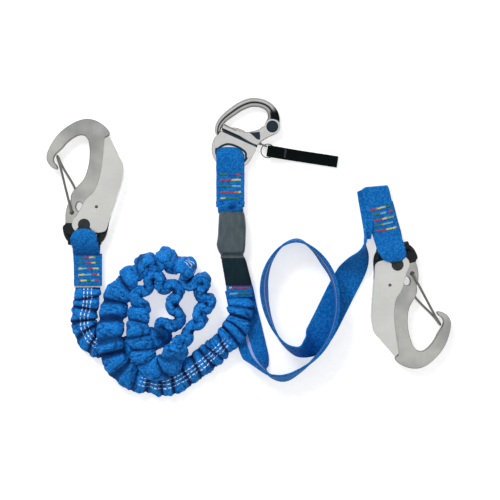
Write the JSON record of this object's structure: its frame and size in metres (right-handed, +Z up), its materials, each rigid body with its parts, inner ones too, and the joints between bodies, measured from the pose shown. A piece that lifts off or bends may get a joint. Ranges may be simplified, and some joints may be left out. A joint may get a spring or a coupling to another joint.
{
  "type": "shock absorbing lanyard",
  "caption": "Two-leg safety tether laid flat: an elastic leg and a flat leg with locking hooks, a sleeved tear pack and a snap shackle with a pull strap.",
  "frame": {"origin": "on the floor under the middle of the box round the hooks, the shackle and the sewn ends", "axes": "+Z up from the floor, +Y from the sleeves toward the shackle, +X from the elastic-leg hook toward the flat-leg hook"},
  "size_m": [0.4238, 0.3119, 0.0345],
  "materials": {
    "webbing": "woven blue webbing",
    "sewn_webbing": "folded tear webbing",
    "plate": "satin forged",
    "lever": "light satin sheet",
    "plastic": "near-black moulding",
    "steel": "stainless wire",
    "polished": "polished stainless",
    "strap": "black tape",
    "sleeve_top": "shrunk grey tube",
    "sleeve_low": "black tube",
    "thread": "multicolour bar tacks"
  },
  "bodies": {
    "webbing": {"left_webbing_loop": "webbing", "left_stitched_panel": "webbing", "left_bar_tacks": "thread", "right_webbing_loop": "webbing", "right_bar_tacks": "thread", "shackle_webbing_loop": "webbing", "shackle_loop_bar_tacks": "thread", "upper_sleeve": "sleeve_top", "lower_sleeve": "sleeve_low", "tear_webbing_pack": "sewn_webbing", "junction_webbing": "sewn_webbing", "leg_junction_tab": "webbing", "leg_junction_tacks": "thread", "elastic_leg": "webbing", "flat_leg": "webbing"},
    "shackle": {"shackle_body": "polished", "shackle_arm_rivet": "steel"},
    "arm": {"shackle_arm": "polished"},
    "plunger": {"shackle_plunger": "steel", "shackle_plunger_spring": "steel"},
    "ring": {"release_split_ring": "steel"},
    "strap": {"release_pull_strap": "strap", "pull_strap_stitch": "strap"},
    "left_hook": {"left_hook_plate": "plate", "left_eye_insert": "plastic", "left_lever_rivet": "plastic"},
    "left_lever": {"left_lock_lever": "lever", "left_lever_stop_pin": "steel"},
    "left_gate": {"left_wire_gate": "steel"},
    "right_hook": {"right_hook_plate": "plate", "right_eye_insert": "plastic", "right_lever_rivet": "plastic"},
    "right_lever": {"right_lock_lever": "lever", "right_lever_stop_pin": "steel"},
    "right_gate": {"right_wire_gate": "steel"}
  },
  "joints": [
    {"name": "left_hook_swing", "type": "hinge", "parent": "webbing", "child": "left_hook", "pos_m": [-0.1709, -0.006, 0.008], "axis": [1, 0, 0], "range_deg": [-80, 80]},
    {"name": "left_lever_squeeze", "type": "hinge", "parent": "left_hook", "child": "left_lever", "pos_m": [-0.1709, 0.0102, 0.008], "axis": [0, 0, 1], "range_deg": [0, 6], "stiffness_Nm_per_rad": 0.6, "springref_deg": -11.46},
    {"name": "left_gate_open", "type": "hinge", "parent": "left_hook", "child": "left_gate", "pos_m": [-0.1839, 0.0229, 0.008], "axis": [0, 0, -1], "range_deg": [0, 24], "stiffness_Nm_per_rad": 0.25, "springref_deg": -11.46},
    {"name": "right_hook_swing", "type": "hinge", "parent": "webbing", "child": "right_hook", "pos_m": [0.15283, -0.01599, 0.008], "axis": [-0.9694, -0.2453, 0], "range_deg": [-80, 80]},
    {"name": "right_lever_squeeze", "type": "hinge", "parent": "right_hook", "child": "right_lever", "pos_m": [0.1568, -0.0317, 0.008], "axis": [0, 0, 1], "range_deg": [0, 6], "stiffness_Nm_per_rad": 0.6, "springref_deg": -11.46},
    {"name": "right_gate_open", "type": "hinge", "parent": "right_hook", "child": "right_gate", "pos_m": [0.17252, -0.04082, 0.008], "axis": [0, 0, -1], "range_deg": [0, 24], "stiffness_Nm_per_rad": 0.25, "springref_deg": -11.46},
    {"name": "shackle_turn", "type": "hinge", "parent": "webbing", "child": "shackle", "pos_m": [-0.01551, 0.09003, 0.0062], "axis": [0, 0, 1], "range_deg": [-10, 40]},
    {"name": "shackle_arm_open", "type": "hinge", "parent": "shackle", "child": "arm", "pos_m": [0.026, 0.1132, 0.0062], "axis": [0, 0, -1], "range_deg": [0, 90]},
    {"name": "plunger_pull", "type": "slide", "parent": "shackle", "child": "plunger", "axis": [0.9114, -0.4115, 0], "range_m": [0, 0.005], "stiffness_N_per_m": 900, "springref_m": -0.003},
    {"name": "ring_swing", "type": "hinge", "parent": "plunger", "child": "ring", "pos_m": [0.01715, 0.0936, 0.0062], "axis": [0, 0, 1], "range_deg": [0, 20]},
    {"name": "strap_swing", "type": "hinge", "parent": "ring", "child": "strap", "pos_m": [0.02135, 0.08776, 0.0062], "axis": [0, 0, 1], "range_deg": [-60, 8]}
  ]
}
